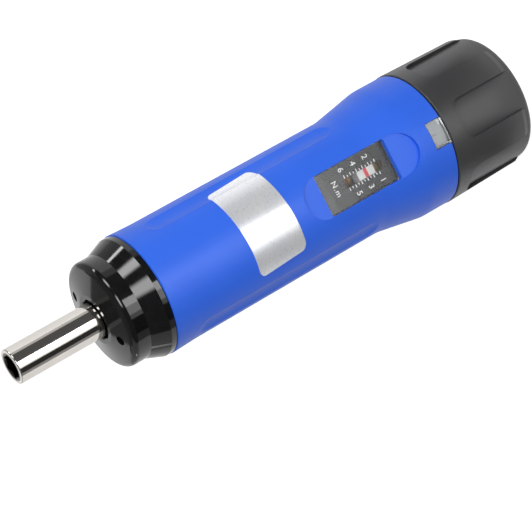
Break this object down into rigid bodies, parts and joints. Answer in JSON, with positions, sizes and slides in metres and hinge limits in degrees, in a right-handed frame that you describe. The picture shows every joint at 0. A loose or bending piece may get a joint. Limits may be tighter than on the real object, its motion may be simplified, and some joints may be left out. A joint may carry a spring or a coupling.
{
  "type": "torque screwdriver",
  "caption": "Adjustable torque screwdriver with a fluted grip, a scale window, a turning setting knob and a hexagon bit holder.",
  "frame": {"origin": "centre of the flat end of the adjusting knob, which the tool stands on", "axes": "+Z along the tool's axis towards the bit holder, -Y towards the scale window, +X to the right when the window is looked at with the nose up"},
  "size_m": [0.0416, 0.0416, 0.169],
  "materials": {
    "blue_grip": "satin moulded plastic with a fine grain",
    "knob_black": "matte moulded plastic with a fine grain",
    "clear_lens": "clear polished acrylic",
    "scale_black": "satin black with white print",
    "silver_foil": "satin silver-white foil",
    "gloss_black": "gloss black, chemically blackened and polished",
    "satin_nickel": "nickel plate over turned steel",
    "tube_aluminium": "turned aluminium",
    "hardened_steel": "ground hardened steel",
    "bearing_steel": "polished bearing steel",
    "spring_steel": "oiled spring steel",
    "black_steel": "black oxide",
    "bronze": "turned bronze",
    "magnet": "nickel-plated magnet",
    "white_cursor": "white plastic with a red index line",
    "ring_aluminium": "satin aluminium with engraved marks",
    "white_print": "white screen print on the scale plate",
    "red_line": "red index line of the cursor",
    "mark_fill": "black paint in the graduations of the ring"
  },
  "bodies": {
    "body": {"grip_sleeve": "blue_grip", "window_lens": "clear_lens", "scale_plate": "scale_black", "index_lens": "clear_lens", "rating_label": "silver_foil", "body_tube": "tube_aluminium", "end_plug": "tube_aluminium", "plug_screws": "black_steel", "thrust_washer": "bronze", "nose_housing": "gloss_black", "nose_cap": "gloss_black", "bearing_outer_ring": "bearing_steel", "front_washer": "bearing_steel", "cam_plate": "hardened_steel", "clutch_balls": "bearing_steel", "spring_washer": "hardened_steel", "main_spring": "spring_steel"},
    "spindle": {"output_spindle": "hardened_steel", "bit_holder": "satin_nickel", "bit_magnet": "magnet", "bearing_inner_ring": "bearing_steel", "bearing_balls": "bearing_steel", "spindle_clip": "black_steel"},
    "carriage": {"adjusting_nut": "bronze", "cursor": "white_cursor", "guide_key": "hardened_steel"},
    "knob": {"knob": "knob_black", "adjusting_screw": "hardened_steel", "graduated_ring": "ring_aluminium", "knob_cap": "knob_black", "knob_screw": "black_steel", "knob_washer": "hardened_steel"}
  },
  "joints": [
    {"name": "spindle_turn", "type": "hinge", "parent": "body", "child": "spindle", "pos_m": [0, 0, 0.137], "axis": [0, 0, 1], "continuous": true},
    {"name": "knob_turn", "type": "hinge", "parent": "body", "child": "knob", "pos_m": [0, 0, 0.0295], "axis": [0, 0, 1], "range_deg": [-648, 1152]},
    {"name": "carriage_slide", "type": "slide", "parent": "body", "child": "carriage", "axis": [0, 0, 1], "range_m": [-0.00388, 0.00689], "deforming": ["main_spring"]}
  ],
  "couplings": [
    {"joint": "carriage_slide", "follows": "knob_turn", "m_per_rad": 0.00034218}
  ]
}
